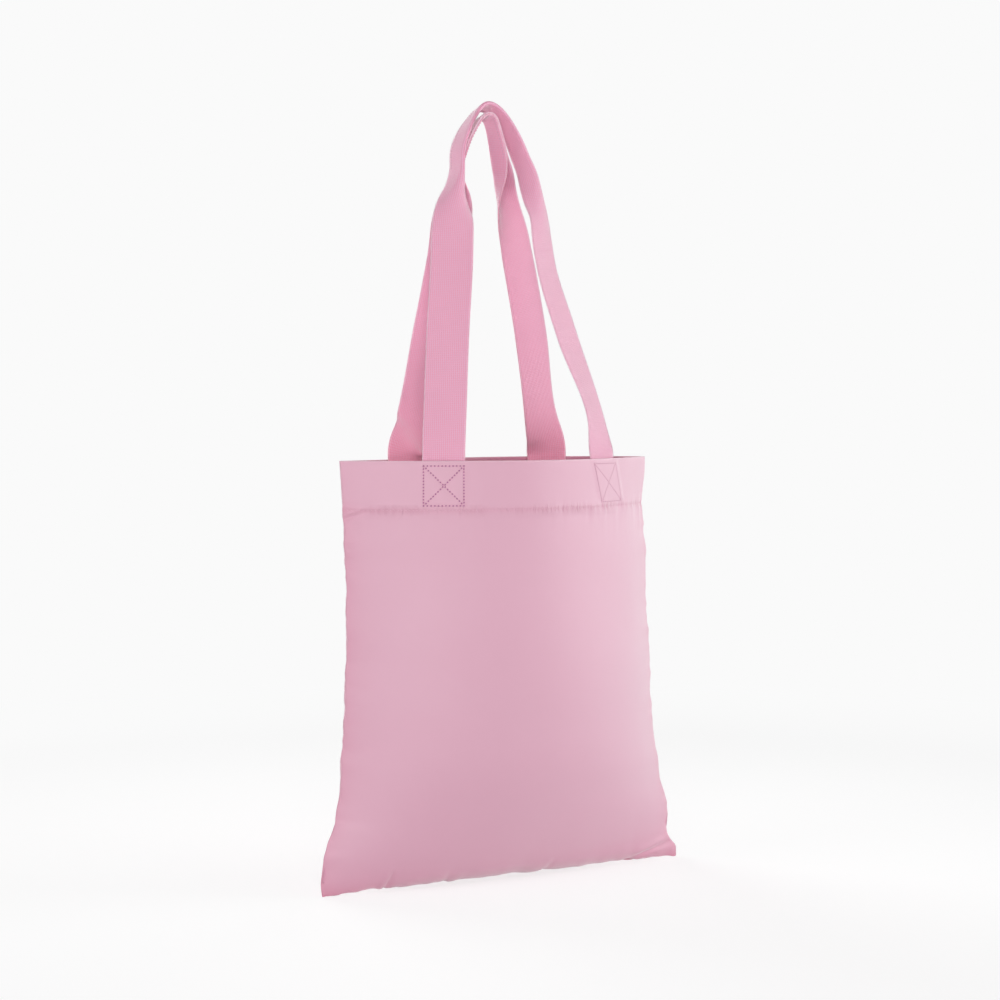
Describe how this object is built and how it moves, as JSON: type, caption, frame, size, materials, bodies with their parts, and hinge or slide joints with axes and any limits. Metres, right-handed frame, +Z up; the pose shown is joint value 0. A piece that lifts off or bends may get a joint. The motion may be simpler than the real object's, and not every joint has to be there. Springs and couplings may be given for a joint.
{
  "type": "tote bag",
  "caption": "Open-top cloth tote bag standing full on its bottom seam, with a deep stitched hem and webbing handles folded double at the grip.",
  "frame": {"origin": "centre of the bottom seam on the floor", "axes": "+Z up, +X to the right seen from the front, the front panel faces -Y"},
  "size_m": [0.38, 0.144, 0.7125],
  "materials": {
    "cloth": "matt plain-woven pink polyester canvas",
    "webbing": "matt ribbed pink webbing",
    "thread": "satin pink sewing thread",
    "binding": "matt pink tape"
  },
  "bodies": {
    "bag": {"front_panel": "cloth", "front_hem_facing": "cloth", "front_hem_stitching": "thread", "back_panel": "cloth", "back_hem_facing": "cloth", "back_hem_stitching": "thread", "front_left_webbing_tail": "webbing", "front_left_box_stitching": "thread", "front_right_webbing_tail": "webbing", "front_right_box_stitching": "thread", "back_left_webbing_tail": "webbing", "back_left_box_stitching": "thread", "back_right_webbing_tail": "webbing", "back_right_box_stitching": "thread", "bottom_seam_binding": "binding", "left_seam_binding": "binding", "right_seam_binding": "binding"},
    "front_handle": {"front_handle_webbing": "webbing", "front_grip_stitching": "thread"},
    "back_handle": {"back_handle_webbing": "webbing", "back_grip_stitching": "thread"}
  },
  "joints": [
    {"name": "front_handle_swing", "type": "hinge", "parent": "bag", "child": "front_handle", "pos_m": [-0.011, -0.05616, 0.40215], "axis": [1, 0, 0], "range_deg": [0, 168]},
    {"name": "back_handle_swing", "type": "hinge", "parent": "bag", "child": "back_handle", "pos_m": [-0.01251, 0.04597, 0.40215], "axis": [-0.9878, -0.1557, 0], "range_deg": [0, 168]}
  ]
}
